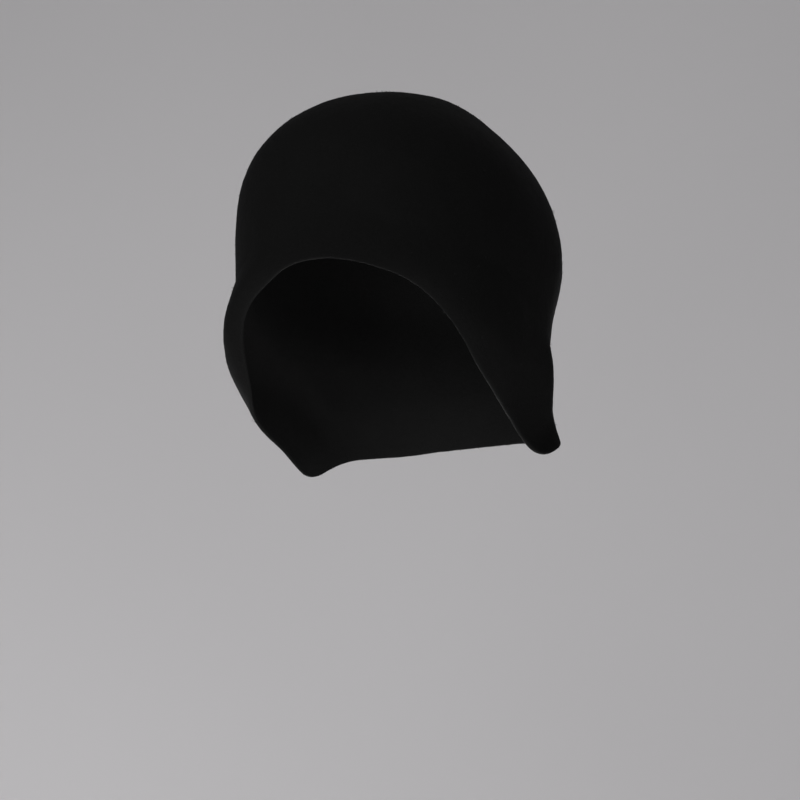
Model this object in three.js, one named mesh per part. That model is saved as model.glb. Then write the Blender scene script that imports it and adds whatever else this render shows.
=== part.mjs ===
// A moulded felt cap: dome crown, arch over the brow, ear flaps that run on into a nape skirt.
// Millimetres, +Z up as worn, the front faces -Y, the wearer's left is +X.
// The origin is the highest point of the inside of the crown, where the cap hangs on the head.
import * as THREE from "three";

// ---- driving dimensions ----
const WALL = 2.5;            // thickness of the felt
const EDGE_STEPS = 4;        // facets round the rounded raw edge
const TILT = 15.2;           // degrees: the cap's own axis leans, so that the nape hangs lower than the brow
const WIDEST = 0.54;         // where the widest point of each section lies, as a share of its length from the front
const BRIM = 32;             // below the crease the wall spreads over this height
const AROUND = 80;           // facets round the cap
const DOWN_OUT = 24;         // rows from apex to edge, outside
const DOWN_IN = 19;          // rows from apex to edge, inside
const ROW_BUNCH = 1.15;      // rows lie closer together toward the edge

// Sections square to the cap's leaning axis, from the apex down. The first is the apex itself:
// it has no width, and front + back = 0 places it behind the axis.
const SECTIONS = [
  { height: 138.5, halfWidth: 0, front: -14, back: 14, squareness: 2.03 },
  { height: 133.5, halfWidth: 30.5, front: 27, back: 39.5, squareness: 2.05 },
  { height: 120, halfWidth: 52, front: 67, back: 63, squareness: 2.15 },
  { height: 94.5, halfWidth: 77, front: 99, back: 82, squareness: 2.2 },
  { height: 64.5, halfWidth: 92, front: 104, back: 91.5, squareness: 2.27 },
  { height: 32, halfWidth: 96.5, front: 101.4, back: 97, squareness: 2.22 },
  { height: 0, halfWidth: 92.7, front: 103.6, back: 91.5, squareness: 2.2 },
  { height: -32, halfWidth: 90, front: 102, back: 89.5, squareness: 2.2 },
  { height: -64, halfWidth: 79.2, front: 98, back: 92.5, squareness: 2.2 },
  { height: -97, halfWidth: 77, front: 97, back: 93.5, squareness: 2.2 },
];

// The edge, the crease above it and how the wall spreads between them, by azimuth from the front.
// spread: how far the wall stands out below the crease; soft: height over which the crease rounds;
// hem: how far the last stretch, hemHeight tall, turns out (+) or in (-). The right flap stands off more than the left.
const EDGE_COLUMNS = [
  "azimuth", "edge", "crease", "spreadLeft", "spreadRight", "softLeft", "softRight", "hemLeft", "hemRight", "hemHeight",
];
const EDGE = [
  [0, 5.7, 38, 2.5, 2.5, 8, 8, 0, 0, 16],
  [22, -1.3, 28, 2.8, 1.3, 12, 7, -1.9, -5.3, 16],
  [45, -18, 14, 1, 5, 16, 5, -3.5, -8.6, 18],
  [65, -48.2, 11, 3.7, 8.5, 18, 4, -2.4, -9.8, 34],
  [82, -64, 2.5, 2.3, 10.8, 16, 4, -2.1, -2.6, 22],
  [97, -77, -10, 1.7, 7.5, 14, 4, -0.6, -1.1, 19.5],
  [108, -83.7, -14.5, 5.3, 5.8, 7, 4, 2.9, 1.9, 13.5],
  [122, -73.4, -35, 10.6, 4.1, 4, 4, 7.4, 4.6, 29.5],
  [150, -62, -31, 4.2, 4, 5, 5, 4, 4.5, 20],
  [180, -58, -30, 3.2, 3.2, 6, 6, 5, 5, 20],
].map((row) => Object.fromEntries(EDGE_COLUMNS.map((name, k) => [name, row[k]])));

const FELT = { color: 0x0d0d0e, roughness: 0.96, metalness: 0 };

// ---- smooth curves through the tables ----
// Natural cubic spline through (x, y).
function spline(x, y) {
  const n = x.length;
  const h = x.slice(1).map((v, i) => v - x[i]);
  const upper = new Array(n).fill(0);
  const rhs = new Array(n).fill(0);
  const bend = new Array(n).fill(0);
  for (let i = 1; i < n - 1; i++) {
    const pull = 6 * ((y[i + 1] - y[i]) / h[i] - (y[i] - y[i - 1]) / h[i - 1]);
    const w = 2 * (h[i - 1] + h[i]) - h[i - 1] * upper[i - 1];
    upper[i] = h[i] / w;
    rhs[i] = (pull - h[i - 1] * rhs[i - 1]) / w;
  }
  for (let i = n - 2; i > 0; i--) bend[i] = rhs[i] - upper[i] * bend[i + 1];
  return (v) => {
    let i = 0;
    while (i < n - 2 && v > x[i + 1]) i++;
    const t = v - x[i];
    const q = h[i] - t;
    return (
      (bend[i] * q ** 3 + bend[i + 1] * t ** 3) / (6 * h[i]) +
      (y[i] / h[i] - (bend[i] * h[i]) / 6) * q +
      (y[i + 1] / h[i] - (bend[i + 1] * h[i]) / 6) * t
    );
  };
}

const LAST = SECTIONS.length - 1;
const column = (rows, name) => rows.map((row) => row[name]);
// A section column runs on over the apex: heights and squareness mirror, widths change sign,
// and the front meets minus the back, so that each meridian is smooth there.
const OVER = 3;
function down(name, over, sign) {
  const before = column(SECTIONS, over).slice(1, OVER + 1).reverse().map((v) => sign * v);
  const values = [...before, ...column(SECTIONS, name)];
  return spline(values.map((_, i) => i - OVER), values);
}
const heightAt = down("height", "height", 1);
const squarenessAt = down("squareness", "squareness", 1);
const halfWidthAt = down("halfWidth", "halfWidth", -1);
const frontAt = down("front", "back", -1);
const backAt = down("back", "front", -1);

// An edge column is the same on both sides and joins up at the back.
function round(name) {
  const az = column(EDGE, "azimuth");
  const v = column(EDGE, name);
  const rev = (list) => [...list].reverse();
  return spline(
    [...rev(az).slice(0, -1).map((a) => -a), ...az, ...rev(az).slice(1).map((a) => 360 - a)],
    [...rev(v).slice(0, -1), ...v, ...rev(v).slice(1)],
  );
}
const edgeAt = round("edge");
const creaseAt = round("crease");
const spreadLeftAt = round("spreadLeft");
const spreadRightAt = round("spreadRight");
const softLeftAt = round("softLeft");
const softRightAt = round("softRight");
const hemLeftAt = round("hemLeft");
const hemRightAt = round("hemRight");
const hemHeightAt = round("hemHeight");

const clamp = (v, lo, hi) => Math.min(hi, Math.max(lo, v));
const RAD = Math.PI / 180;

// Row number at which the section column reaches a height.
function rowAt(height) {
  let lo = 0;
  let hi = LAST;
  for (let i = 0; i < 50; i++) {
    const mid = (lo + hi) / 2;
    if (heightAt(mid) > height) lo = mid;
    else hi = mid;
  }
  return (lo + hi) / 2;
}

// A point of the outside: row number down from the apex, azimuth in degrees from the front, left positive.
function outside(row, azimuth) {
  const az = azimuth * RAD;
  const turn = Math.abs(azimuth);
  const s = Math.sin(az);
  const c = Math.cos(az);
  const z = heightAt(row);
  const front = frontAt(row);
  const back = backAt(row);
  const power = 2 / squarenessAt(row);
  const yWidest = -front + WIDEST * (front + back);
  const reach = c >= 0 ? front + yWidest : back - yWidest;
  let x = halfWidthAt(row) * Math.sign(s) * Math.abs(s) ** power;
  let y = yWidest - reach * Math.sign(c) * Math.abs(c) ** power;
  // below the crease the wall spreads, and its last stretch turns in or out
  const left = 0.5 + 0.5 * clamp(3 * s, -1, 1);
  const side = (leftAt, rightAt) => leftAt(turn) * left + rightAt(turn) * (1 - left);
  const below = (creaseAt(turn) - z) / BRIM;
  const soft = side(softLeftAt, softRightAt) / BRIM;
  const eased = 0.5 * (below + Math.hypot(below, soft)) - 0.5 * soft * Math.exp(-3 * Math.abs(below));
  const share = clamp(eased, 0, 1);
  const hemShare = clamp((edgeAt(turn) + hemHeightAt(turn) - z) / hemHeightAt(turn), 0, 1.3);
  const out = side(spreadLeftAt, spreadRightAt) * (1 - (1 - share) ** 2) + side(hemLeftAt, hemRightAt) * hemShare ** 2;
  x += out * s;
  y -= out * c;
  const lean = TILT * RAD;
  return new THREE.Vector3(x, y * Math.cos(lean) + z * Math.sin(lean), z * Math.cos(lean) - y * Math.sin(lean));
}

const wrap = (azimuth) => (azimuth > 180 ? azimuth - 360 : azimuth < -180 ? azimuth + 360 : azimuth);

// Outward normal of the outside, from points a little way round and down.
function normal(row, azimuth) {
  const dRow = 0.02;
  const dAz = 0.6;
  const r = Math.max(row, dRow * 1.5);
  const along = outside(r + dRow, azimuth).sub(outside(r - dRow, azimuth));
  const across = outside(r, wrap(azimuth + dAz)).sub(outside(r, wrap(azimuth - dAz)));
  return along.cross(across).normalize();
}

// ---- the shell ----
const positions = [];
const triangles = [];
const add = (p) => positions.push(p.x, p.y, p.z) / 3 - 1;
const azimuths = Array.from({ length: AROUND }, (_, j) => wrap((360 * j) / AROUND));

// One ring of points at a share of the way from apex to edge, at a depth under the outside.
function ring(share, depth) {
  return azimuths.map((azimuth) => {
    const row = share * edgeRows.get(azimuth);
    return outside(row, azimuth).addScaledVector(normal(row, azimuth), -depth);
  });
}

// The rounded edge takes half a wall off the outside's length.
const edgeRows = new Map(azimuths.map((a) => [a, rowAt(edgeAt(Math.abs(a)) + WALL / 2)]));
const bunch = (u) => 1 - (1 - u) ** ROW_BUNCH;

const apexNormal = new THREE.Vector3();
azimuths.forEach((a) => apexNormal.add(normal(0, a)));
apexNormal.normalize();
const apex = outside(0, 0);

const outer = [];
for (let i = 1; i <= DOWN_OUT; i++) outer.push(ring(bunch(i / DOWN_OUT), 0));
const inner = [];
for (let i = 1; i <= DOWN_IN; i++) inner.push(ring(bunch(i / DOWN_IN), WALL));

// The edge's section is a half circle across the wall, pointing away from the shell.
const last = outer[outer.length - 1];
const edgeRings = [];
for (let k = 1; k < EDGE_STEPS; k++) {
  const angle = (Math.PI * k) / EDGE_STEPS;
  edgeRings.push(
    last.map((p, j) => {
      const azimuth = azimuths[j];
      const n = normal(edgeRows.get(azimuth), azimuth);
      const next = last[(j + 1) % AROUND];
      const prev = last[(j + AROUND - 1) % AROUND];
      const away = n.clone().cross(next.clone().sub(prev)).normalize();
      if (away.z > 0) away.negate();
      return p
        .clone()
        .addScaledVector(n, (-WALL / 2) * (1 - Math.cos(angle)))
        .addScaledVector(away, (WALL / 2) * Math.sin(angle));
    }),
  );
}

const topOut = add(apex);
const topIn = add(apex.clone().addScaledVector(apexNormal, -WALL));
const rings = [...outer, ...edgeRings, ...inner.reverse()].map((r) => r.map(add));
for (let j = 0; j < AROUND; j++) {
  const k = (j + 1) % AROUND;
  triangles.push(topOut, rings[0][j], rings[0][k]);
  for (let i = 0; i + 1 < rings.length; i++) {
    const [a, b] = [rings[i], rings[i + 1]];
    triangles.push(a[j], b[j], b[k], a[j], b[k], a[k]);
  }
  const end = rings[rings.length - 1];
  triangles.push(end[j], topIn, end[k]);
}

// ---- the origin: the highest point inside ----
let seat = new THREE.Vector3(0, 0, -Infinity);
for (let i = 0; i < positions.length; i += 3) {
  const index = i / 3;
  const inside = index === topIn || rings.slice(-DOWN_IN).some((r) => r[0] === index || r[AROUND / 2] === index);
  if (inside && positions[i + 2] > seat.z) seat = new THREE.Vector3(positions[i], positions[i + 1], positions[i + 2]);
}

const geometry = new THREE.BufferGeometry();
geometry.setAttribute("position", new THREE.Float32BufferAttribute(positions, 3));
geometry.setIndex(triangles);
geometry.translate(-seat.x, -seat.y, -seat.z);
geometry.computeVertexNormals();

const felt = new THREE.MeshStandardMaterial(FELT);
const cap = new THREE.Mesh(geometry, felt);
cap.name = "felt_cap";

const part = new THREE.Group();
part.name = "running_beanie";
part.add(cap);
export default part;
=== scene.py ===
"""A moulded felt cap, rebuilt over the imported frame: a dense shell with its raw rounded edge, felt relief and short
fuzz, a plain pale stage, soft studio light and a camera at the photograph's angle."""

import math

import bpy
import numpy as np
from mathutils import Matrix, Vector, noise


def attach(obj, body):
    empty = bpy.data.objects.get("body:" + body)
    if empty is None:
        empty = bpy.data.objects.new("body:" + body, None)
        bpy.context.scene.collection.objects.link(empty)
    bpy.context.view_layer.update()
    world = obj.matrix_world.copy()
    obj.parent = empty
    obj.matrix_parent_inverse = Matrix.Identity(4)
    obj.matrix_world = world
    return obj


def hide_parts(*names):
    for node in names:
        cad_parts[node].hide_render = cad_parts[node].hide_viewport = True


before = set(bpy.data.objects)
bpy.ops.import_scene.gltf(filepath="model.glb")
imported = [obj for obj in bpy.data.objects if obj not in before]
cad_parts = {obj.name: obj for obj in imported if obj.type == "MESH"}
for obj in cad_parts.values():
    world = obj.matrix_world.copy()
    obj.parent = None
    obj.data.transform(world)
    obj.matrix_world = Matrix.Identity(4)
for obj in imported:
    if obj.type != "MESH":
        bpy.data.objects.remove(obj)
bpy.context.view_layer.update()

# ------------------------------------------------------------------ the cap's form, in millimetres, as in the CAD
WALL = 2.5
TILT = 15.2
WIDEST = 0.54
BRIM = 32.0

# height, half width, front, back, squareness: sections square to the leaning axis, from the apex down
SECTIONS = np.array([
    (138.5, 0, -14, 14, 2.03),
    (133.5, 30.5, 27, 39.5, 2.05),
    (120, 52, 67, 63, 2.15),
    (94.5, 77, 99, 82, 2.2),
    (64.5, 92, 104, 91.5, 2.27),
    (32, 96.5, 101.4, 97, 2.22),
    (0, 92.7, 103.6, 91.5, 2.2),
    (-32, 90, 102, 89.5, 2.2),
    (-64, 79.2, 98, 92.5, 2.2),
    (-97, 77, 97, 93.5, 2.2),
])

# azimuth, edge height, crease height, spread left and right, crease softness left and right, hem turn left and right,
# hem height
EDGE = np.array([
    (0, 5.7, 38, 2.5, 2.5, 8, 8, 0, 0, 16),
    (22, -1.3, 28, 2.8, 1.3, 12, 7, -1.9, -5.3, 16),
    (45, -18, 14, 1, 5, 16, 5, -3.5, -8.6, 18),
    (65, -48.2, 11, 3.7, 8.5, 18, 4, -2.4, -9.8, 34),
    (82, -64, 2.5, 2.3, 10.8, 16, 4, -2.1, -2.6, 22),
    (97, -77, -10, 1.7, 7.5, 14, 4, -0.6, -1.1, 19.5),
    (108, -83.7, -14.5, 5.3, 5.8, 7, 4, 2.9, 1.9, 13.5),
    (122, -73.4, -35, 10.6, 4.1, 4, 4, 7.4, 4.6, 29.5),
    (150, -62, -31, 4.2, 4, 5, 5, 4, 4.5, 20),
    (180, -58, -30, 3.2, 3.2, 6, 6, 5, 5, 20),
])


def spline(xs, ys):
    """Natural cubic spline through the points."""
    xs, ys = np.asarray(xs, float), np.asarray(ys, float)
    n = len(xs)
    h = np.diff(xs)
    a = np.zeros((n, n))
    r = np.zeros(n)
    a[0, 0] = a[-1, -1] = 1.0
    for i in range(1, n - 1):
        a[i, i - 1 : i + 2] = h[i - 1], 2 * (h[i - 1] + h[i]), h[i]
        r[i] = 6 * ((ys[i + 1] - ys[i]) / h[i] - (ys[i] - ys[i - 1]) / h[i - 1])
    m = np.linalg.solve(a, r)

    def at(x):
        x = np.asarray(x, float)
        i = np.clip(np.searchsorted(xs, x) - 1, 0, n - 2)
        t = x - xs[i]
        q = h[i] - t
        return (
            (m[i] * q**3 + m[i + 1] * t**3) / (6 * h[i])
            + (ys[i] / h[i] - m[i] * h[i] / 6) * q
            + (ys[i + 1] / h[i] - m[i + 1] * h[i] / 6) * t
        )

    return at


def down(own, over, sign):
    values = np.concatenate([sign * SECTIONS[3:0:-1, over], SECTIONS[:, own]])
    return spline(np.arange(len(values)) - 3, values)


def around(column):
    az, v = EDGE[:, 0], EDGE[:, column]
    return spline(
        np.concatenate([-az[::-1][:-1], az, 360 - az[::-1][1:]]),
        np.concatenate([v[::-1][:-1], v, v[::-1][1:]]),
    )


height_at, width_at = down(0, 0, 1), down(1, 1, -1)
front_at, back_at, square_at = down(2, 3, -1), down(3, 2, -1), down(4, 4, 1)
edge_at, crease_at = around(1), around(2)
spread_at, soft_at, hem_at = ((around(k), around(k + 1)) for k in (3, 5, 7))
hem_height_at = around(9)

LAST = len(SECTIONS) - 1
ROW_TABLE = np.linspace(0, LAST, 4000)
HEIGHT_TABLE = height_at(ROW_TABLE)


def row_at(height):
    return np.interp(-np.asarray(height, float), -HEIGHT_TABLE, ROW_TABLE)


def outside(row, az):
    """Points of the outside, before the origin is moved to the seat. az in degrees from the front, left positive."""
    az = (np.asarray(az, float) + 180) % 360 - 180
    rad, turn = np.radians(az), np.abs(az)
    s, c = np.sin(rad), np.cos(rad)
    z = height_at(row)
    front, back, power = front_at(row), back_at(row), 2 / square_at(row)
    y_widest = -front + WIDEST * (front + back)
    reach = np.where(c >= 0, front + y_widest, back - y_widest)
    x = width_at(row) * np.sign(s) * np.abs(s) ** power
    y = y_widest - reach * np.sign(c) * np.abs(c) ** power
    left = 0.5 + 0.5 * np.clip(3 * s, -1, 1)

    def side(pair):
        return pair[0](turn) * left + pair[1](turn) * (1 - left)

    below = (crease_at(turn) - z) / BRIM
    soft = side(soft_at) / BRIM
    eased = 0.5 * (below + np.hypot(below, soft)) - 0.5 * soft * np.exp(-3 * np.abs(below))
    share = np.clip(eased, 0, 1)
    hem = np.clip((edge_at(turn) + hem_height_at(turn) - z) / hem_height_at(turn), 0, 1.3)
    out = side(spread_at) * (1 - (1 - share) ** 2) + side(hem_at) * hem**2
    x = x + out * s
    y = y - out * c
    lean = math.radians(TILT)
    return np.stack([x, y * math.cos(lean) + z * math.sin(lean), z * math.cos(lean) - y * math.sin(lean)], -1)


def normals(row, az):
    d_row, d_az = 0.02, 0.6
    r = np.maximum(row, d_row * 1.5)
    along = outside(r + d_row, az) - outside(r - d_row, az)
    across = outside(r, az + d_az) - outside(r, az - d_az)
    n = np.cross(along, across)
    return n / np.linalg.norm(n, axis=-1, keepdims=True)


# ------------------------------------------------------------------ the shell as a grid of points
AROUND = 288
DOWN_OUT = 136
DOWN_IN = 40
EDGE_STEPS = 8

azimuths = np.arange(AROUND) * 360.0 / AROUND
edge_rows = row_at(edge_at(np.abs((azimuths + 180) % 360 - 180)) + WALL / 2)


def even_rows(count):
    """Row numbers for each azimuth, spaced evenly along the wall from apex to edge."""
    u = np.linspace(0, 1, 400)[:, None]
    rows = u * edge_rows[None, :]
    p = outside(rows, azimuths[None, :] * np.ones_like(rows))
    run = np.concatenate([np.zeros((1, AROUND)), np.cumsum(np.linalg.norm(np.diff(p, axis=0), axis=-1), axis=0)])
    want = np.linspace(0, 1, count + 1)[1:]
    return np.stack([np.interp(want * run[-1, j], run[:, j], rows[:, j]) for j in range(AROUND)], 1)


AZ = azimuths[None, :]
rows_out, rows_in = even_rows(DOWN_OUT), even_rows(DOWN_IN)
n_out = normals(rows_out, AZ * np.ones_like(rows_out))
n_in = normals(rows_in, AZ * np.ones_like(rows_in))
p_out = outside(rows_out, AZ * np.ones_like(rows_out))
p_in = outside(rows_in, AZ * np.ones_like(rows_in)) - WALL * n_in

apex = outside(np.array([0.0]), np.array([0.0]))[0]
apex_n = normals(np.zeros(AROUND), azimuths).mean(0)
apex_n /= np.linalg.norm(apex_n)

# the seat: the highest point inside, on the middle line
mid_rows = np.linspace(0.02, 3, 400)
middle = np.concatenate([outside(mid_rows, np.full(400, a)) - WALL * normals(mid_rows, np.full(400, a)) for a in (0.0, 180.0)])
SEAT = middle[middle[:, 2].argmax()] * np.array([0.0, 1.0, 1.0])

# the raw edge: a soft half round across the wall
last, last_n = p_out[-1], n_out[-1]
away = np.cross(last_n, np.roll(last, -1, 0) - np.roll(last, 1, 0))
away /= np.linalg.norm(away, axis=-1, keepdims=True)
away *= np.where(away[:, 2:] > 0, -1.0, 1.0)
edge_rings, edge_normals = [], []
for k in range(1, EDGE_STEPS):
    t = math.pi * k / EDGE_STEPS
    edge_rings.append(last - last_n * (WALL / 2) * (1 - math.cos(t)) + away * (WALL / 2) * math.sin(t))
    edge_normals.append(last_n * math.cos(t) + away * math.sin(t))

rings = np.concatenate([p_out, np.array(edge_rings), p_in[::-1]])
ring_n = np.concatenate([n_out, np.array(edge_normals), -n_in[::-1]])
RINGS = len(rings)

points = np.concatenate([rings.reshape(-1, 3), [apex, apex - WALL * apex_n]])
point_n = np.concatenate([ring_n.reshape(-1, 3), [apex_n, -apex_n]])


# ------------------------------------------------------------------ felt relief: slow unevenness and fine lumps
def lumps(p, size, seed):
    off = Vector((seed * 17.3, seed * 5.1, seed * 9.7))
    return np.array([noise.noise(Vector(v) / size + off) for v in p])


relief = 0.45 * lumps(points, 46.0, 1) + 0.28 * lumps(points, 19.0, 2) + 0.14 * lumps(points, 7.0, 3)
relief += 0.11 * lumps(points, 3.4, 4)
points = points + point_n * relief[:, None]

verts = (points - SEAT) / 1000.0
faces = []
for i in range(RINGS - 1):
    a = i * AROUND
    for j in range(AROUND):
        k = (j + 1) % AROUND
        faces.append((a + j, a + AROUND + j, a + AROUND + k, a + k))
top_out, top_in = RINGS * AROUND, RINGS * AROUND + 1
end = (RINGS - 1) * AROUND
for j in range(AROUND):
    k = (j + 1) % AROUND
    faces.append((top_out, j, k))
    faces.append((end + j, top_in, end + k))

mesh = bpy.data.meshes.new("felt_shell")
mesh.from_pydata(verts.tolist(), [], faces)
mesh.update()
mesh.polygons.foreach_set("use_smooth", [True] * len(mesh.polygons))
shell = bpy.data.objects.new("felt_shell", mesh)
bpy.context.collection.objects.link(shell)


# ------------------------------------------------------------------ materials
def nodes_of(name):
    mat = bpy.data.materials.new(name)
    mat.use_nodes = True
    tree = mat.node_tree
    tree.nodes.clear()
    out = tree.nodes.new("ShaderNodeOutputMaterial")
    bsdf = tree.nodes.new("ShaderNodeBsdfPrincipled")
    tree.links.new(bsdf.outputs["BSDF"], out.inputs["Surface"])
    return mat, tree, bsdf


def noise_node(tree, coord, scale, detail=3.0, rough=0.55, distortion=0.0):
    n = tree.nodes.new("ShaderNodeTexNoise")
    n.inputs["Scale"].default_value = scale
    n.inputs["Detail"].default_value = detail
    n.inputs["Roughness"].default_value = rough
    n.inputs["Distortion"].default_value = distortion
    tree.links.new(coord, n.inputs["Vector"])
    return n


def stretched(tree, coord, angles, stretch):
    m = tree.nodes.new("ShaderNodeMapping")
    m.inputs["Rotation"].default_value = angles
    m.inputs["Scale"].default_value = stretch
    tree.links.new(coord, m.inputs["Vector"])
    return m.outputs["Vector"]


def maths(tree, op, a, b):
    m = tree.nodes.new("ShaderNodeMath")
    m.operation = op
    for socket, v in zip(m.inputs, (a, b)):
        if isinstance(v, (int, float)):
            socket.default_value = v
        else:
            tree.links.new(v, socket)
    return m.outputs[0]


def ramp(tree, fac, stops):
    r = tree.nodes.new("ShaderNodeValToRGB")
    r.color_ramp.interpolation = "EASE"
    while len(r.color_ramp.elements) < len(stops):
        r.color_ramp.elements.new(0.5)
    for e, (pos, col) in zip(r.color_ramp.elements, stops):
        e.position = pos
        e.color = (*col, 1.0)
    tree.links.new(fac, r.inputs["Fac"])
    return r.outputs["Color"]


felt, tree, bsdf = nodes_of("black_felt")
coord = tree.nodes.new("ShaderNodeTexCoord").outputs["Object"]
# matted fibres: three sets of stretched noise lying in different directions
fibres = None
for turn, seed in (((0.3, 0.2, 0.5), 1.0), ((1.2, 0.9, 2.1), 1.3), ((2.2, 1.9, 0.2), 0.8)):
    n = noise_node(tree, stretched(tree, coord, turn, (0.16, 1.0, 1.0)), 2300.0 * seed, 2.0, 0.6, 0.35)
    fibres = n.outputs["Fac"] if fibres is None else maths(tree, "MAXIMUM", fibres, n.outputs["Fac"])
pill = noise_node(tree, coord, 520.0, 4.0, 0.6).outputs["Fac"]
patch = noise_node(tree, coord, 34.0, 3.0, 0.5).outputs["Fac"]
mixed = maths(tree, "ADD", maths(tree, "MULTIPLY", fibres, 0.70), maths(tree, "MULTIPLY", patch, 0.25))
colour = ramp(tree, mixed, [(0.30, (0.0026, 0.0026, 0.0026)), (0.55, (0.0039, 0.0039, 0.0039)), (0.78, (0.0066, 0.0066, 0.0066))])
tree.links.new(colour, bsdf.inputs["Base Color"])
rough = maths(tree, "ADD", maths(tree, "MULTIPLY", pill, 0.16), 0.80)
tree.links.new(rough, bsdf.inputs["Roughness"])
bump_a = tree.nodes.new("ShaderNodeBump")
bump_a.inputs["Strength"].default_value = 0.55
bump_a.inputs["Distance"].default_value = 0.00045
tree.links.new(pill, bump_a.inputs["Height"])
bump_b = tree.nodes.new("ShaderNodeBump")
bump_b.inputs["Strength"].default_value = 0.75
bump_b.inputs["Distance"].default_value = 0.00018
tree.links.new(fibres, bump_b.inputs["Height"])
tree.links.new(bump_a.outputs["Normal"], bump_b.inputs["Normal"])
tree.links.new(bump_b.outputs["Normal"], bsdf.inputs["Normal"])
bsdf.inputs["Specular IOR Level"].default_value = 0.038
bsdf.inputs["Sheen Weight"].default_value = 0.0064
bsdf.inputs["Sheen Roughness"].default_value = 0.32
bsdf.inputs["Sheen Tint"].default_value = (0.9, 0.9, 1.0, 1.0)

hair, tree, bsdf = nodes_of("felt_fuzz")
coord = tree.nodes.new("ShaderNodeTexCoord").outputs["Object"]
shade = noise_node(tree, coord, 900.0, 1.0).outputs["Fac"]
tree.links.new(ramp(tree, shade, [(0.35, (0.0032, 0.0032, 0.0032)), (0.75, (0.0088, 0.0088, 0.0088))]), bsdf.inputs["Base Color"])
bsdf.inputs["Roughness"].default_value = 0.7
bsdf.inputs["Specular IOR Level"].default_value = 0.13

mesh.materials.append(felt)
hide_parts("felt_cap")
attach(shell, "root")


# ------------------------------------------------------------------ fuzz: short curved fibres that stand off the felt
def scatter(which, count, seed):
    """Points on the shell's quads, even by area, with their normals. which is a mask over rings."""
    r = np.random.default_rng(seed)
    grid = points[: RINGS * AROUND].reshape(RINGS, AROUND, 3)
    norm = point_n[: RINGS * AROUND].reshape(RINGS, AROUND, 3)
    a, b = grid[:-1], grid[1:]
    ac, bc = np.roll(a, -1, 1), np.roll(b, -1, 1)
    area = 0.5 * np.linalg.norm(np.cross(bc - a, ac - b), axis=-1)
    area = area * which[:-1, None]
    p = (area / area.sum()).ravel()
    pick = r.choice(len(p), size=count, p=p)
    i, j = np.unravel_index(pick, area.shape)
    k = (j + 1) % AROUND
    u, v = r.random((2, count, 1))

    def lerp(g):
        return (g[i, j] * (1 - v) + g[i, k] * v) * (1 - u) + (g[i + 1, j] * (1 - v) + g[i + 1, k] * v) * u

    n = lerp(norm)
    return lerp(grid), n / np.linalg.norm(n, axis=1, keepdims=True), r


def fuzz(name, which, count, length, stand, seed, tuft=1):
    base, n, r = scatter(which, count // tuft, seed)
    base, n, count = np.repeat(base, tuft, 0), np.repeat(n, tuft, 0), (count // tuft) * tuft
    t = r.normal(size=(count, 3))
    if tuft > 1:
        base = base + t * 0.22
        t = t + 1.4 * np.repeat(r.normal(size=(count // tuft, 3)), tuft, 0)
    t -= n * np.sum(t * n, 1, keepdims=True)
    t /= np.linalg.norm(t, axis=1, keepdims=True)
    size = (length * np.exp(r.normal(0, 0.38 if tuft == 1 else 0.2, count)))[:, None]
    if tuft > 1:
        size = size * np.repeat(np.exp(r.normal(-0.25, 0.5, count // tuft)), tuft)[:, None]
    lift = np.clip(r.normal(stand, 0.22, count), 0.08, 1.0)[:, None]
    d0 = n * lift + t * np.sqrt(1 - lift**2)
    bend = r.normal(size=(count, 3))
    bend -= d0 * np.sum(bend * d0, 1, keepdims=True)
    bend /= np.linalg.norm(bend, axis=1, keepdims=True)
    curl = r.uniform(0.2, 1.1, (count, 1))
    d1 = d0 * np.cos(curl) + bend * np.sin(curl)
    side = np.cross(d0, r.normal(size=(count, 3)))
    side /= np.linalg.norm(side, axis=1, keepdims=True)
    half = r.uniform(0.014, 0.024, (count, 1))
    root = base - n * 0.12
    knee = root + d0 * size * 0.55
    tip = knee + d1 * size * 0.45
    v = np.stack([root - side * half, root + side * half, knee - side * half * 0.85, knee + side * half * 0.85, tip], 1)
    v = (v.reshape(-1, 3) - SEAT) / 1000.0
    b = np.arange(count)[:, None] * 5
    tris = np.concatenate([b + [0, 1, 3], b + [0, 3, 2], b + [2, 3, 4]], 1).reshape(-1, 3)
    m = bpy.data.meshes.new(name)
    m.vertices.add(len(v))
    m.vertices.foreach_set("co", v.ravel())
    m.loops.add(len(tris) * 3)
    m.loops.foreach_set("vertex_index", tris.ravel())
    m.polygons.add(len(tris))
    m.polygons.foreach_set("loop_start", np.arange(len(tris)) * 3)
    m.update(calc_edges=True)
    m.materials.append(hair)
    o = bpy.data.objects.new(name, m)
    bpy.context.collection.objects.link(o)
    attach(o, "root")
    return o


ring_index = np.arange(RINGS)
is_out = (ring_index < DOWN_OUT).astype(float)
is_edge = ((ring_index >= DOWN_OUT - 2) & (ring_index < DOWN_OUT + EDGE_STEPS)).astype(float)
is_in = (ring_index >= DOWN_OUT + EDGE_STEPS - 1).astype(float)
MANY = 1.0
fuzz("fuzz_outside_a", is_out, int(12000 * MANY), 0.95, 0.42, 11)
fuzz("fuzz_outside_b", is_out, int(12000 * MANY), 1.25, 0.65, 12, 26)
fuzz("fuzz_edge", is_edge, int(3600 * MANY), 1.05, 0.60, 13, 12)
fuzz("fuzz_inside", is_in, int(2800 * MANY), 0.80, 0.35, 14)

# ------------------------------------------------------------------ the stage
FLOOR_Z, WALL_Y, SWEEP = -2.4, 3.2, 1.2
stage_mat, tree, bsdf = nodes_of("backdrop_paper")
coord = tree.nodes.new("ShaderNodeTexCoord").outputs["Object"]
tone = noise_node(tree, coord, 0.7, 2.0).outputs["Fac"]
tree.links.new(ramp(tree, tone, [(0.3, (0.606, 0.594, 0.606)), (0.7, (0.636, 0.624, 0.636))]), bsdf.inputs["Base Color"])
bsdf.inputs["Roughness"].default_value = 0.9
bsdf.inputs["Specular IOR Level"].default_value = 0.1

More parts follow.
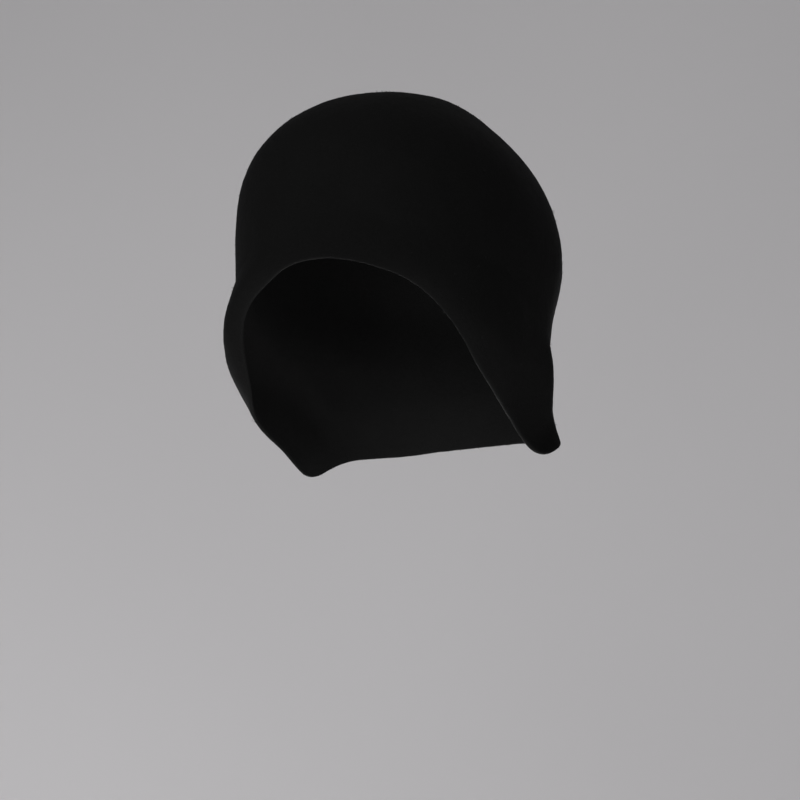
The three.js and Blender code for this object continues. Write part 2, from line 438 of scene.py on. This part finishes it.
profile = [(-6.0, FLOOR_Z), (WALL_Y - SWEEP, FLOOR_Z)]
for k in range(1, 17):
    t = math.pi / 2 * k / 16
    profile.append((WALL_Y - SWEEP + SWEEP * math.sin(t), FLOOR_Z + SWEEP * (1 - math.cos(t))))
profile.append((WALL_Y, 4.5))
v, f = [], []
for y, z in profile:
    v += [(-7.0, y, z), (7.0, y, z)]
for i in range(len(profile) - 1):
    f.append((2 * i, 2 * i + 1, 2 * i + 3, 2 * i + 2))
m = bpy.data.meshes.new("sweep")
m.from_pydata(v, [], f)
m.polygons.foreach_set("use_smooth", [True] * len(m.polygons))
m.materials.append(stage_mat)
sweep = bpy.data.objects.new("sweep", m)
bpy.context.collection.objects.link(sweep)

# ------------------------------------------------------------------ the camera, at the photograph's angle
YAW, ELEVATION, ROLL = 27.53, -3.34, -5.20
DISTANCE = 2.600
PER_PIXEL = 0.000608
AIM = (396.3, 316.4)  # where the cap's own origin lies in the 800 x 800 frame
yaw, elev, roll = map(math.radians, (YAW, ELEVATION, ROLL))
toward = Vector((math.sin(yaw) * math.cos(elev), -math.cos(yaw) * math.cos(elev), math.sin(elev)))
level = Vector((math.cos(yaw), math.sin(yaw), 0))
upward = toward.cross(level)
right = level * math.cos(roll) + upward * math.sin(roll)
up = upward * math.cos(roll) - level * math.sin(roll)
centre = Vector((0, -SEAT[1], -SEAT[2])) / 1000.0
eye = centre + toward * DISTANCE
focal_px = DISTANCE / PER_PIXEL
ahead = (-toward * focal_px + right * (400 - AIM[0]) - up * (400 - AIM[1])).normalized()
cam_right = ahead.cross(up).normalized()
cam_up = cam_right.cross(ahead)
cam_data = bpy.data.cameras.new("camera")
cam_data.sensor_width = 36.0
cam_data.lens = 36.0 * focal_px / 800
cam_data.clip_start, cam_data.clip_end = 0.05, 60
cam = bpy.data.objects.new("camera", cam_data)
bpy.context.collection.objects.link(cam)
cam.matrix_world = Matrix((
    (cam_right.x, cam_up.x, -ahead.x, eye.x),
    (cam_right.y, cam_up.y, -ahead.y, eye.y),
    (cam_right.z, cam_up.z, -ahead.z, eye.z),
    (0, 0, 0, 1),
))
bpy.context.scene.camera = cam


# ------------------------------------------------------------------ soft studio light
def softbox(name, place, aim, size, power, colour=(1, 1, 1)):
    light = bpy.data.lights.new(name, "AREA")
    light.shape = "RECTANGLE"
    light.size, light.size_y = size
    light.energy = power
    light.color = colour
    o = bpy.data.objects.new(name, light)
    o.location = place
    o.rotation_mode = "QUATERNION"
    o.rotation_quaternion = (Vector(aim) - Vector(place)).to_track_quat("-Z", "Y")
    o.visible_camera = False
    bpy.context.collection.objects.link(o)
    return o


mid = Vector((0, 0, -0.11))
for name, turn, rise, power in (
    ("edge_low", -150, -35, 60),
    ("front_low", 0, -10, 20),
    ("left_low", -30, -35, 18),
    ("right_low", 90, -35, 15),
    ("top", 0, 80, 22),
):
    t, r = math.radians(turn), math.radians(rise)
    place = mid + 2.0 * Vector((math.sin(t) * math.cos(r), -math.cos(t) * math.cos(r), math.sin(r)))
    softbox(name, place, mid, (1.1, 1.1), power)
softbox("wall_wash", (-3.3, 1.2, -1.10), (-2.4, WALL_Y, 0.0), (1.2, 1.2), 27.5)
softbox("wall_mid", (-1.0, 1.3, -1.4), (-1.2, WALL_Y, -0.1), (1.2, 1.2), 4.5)
softbox("near_bounce", (0.0, -0.20, -0.48), (0, 0, -0.07), (0.45, 0.26), 1.1)
softbox("inner_bounce", (0.025, -0.02, -0.165), (-0.09, -0.03, -0.135), (0.07, 0.09), 0.055)

world = bpy.data.worlds.new("studio")
world.use_nodes = True
world.node_tree.nodes["Background"].inputs["Color"].default_value = (0.36, 0.36, 0.36, 1)
world.node_tree.nodes["Background"].inputs["Strength"].default_value = 0.28
bpy.context.scene.world = world
bpy.context.scene.view_settings.view_transform = "Standard"
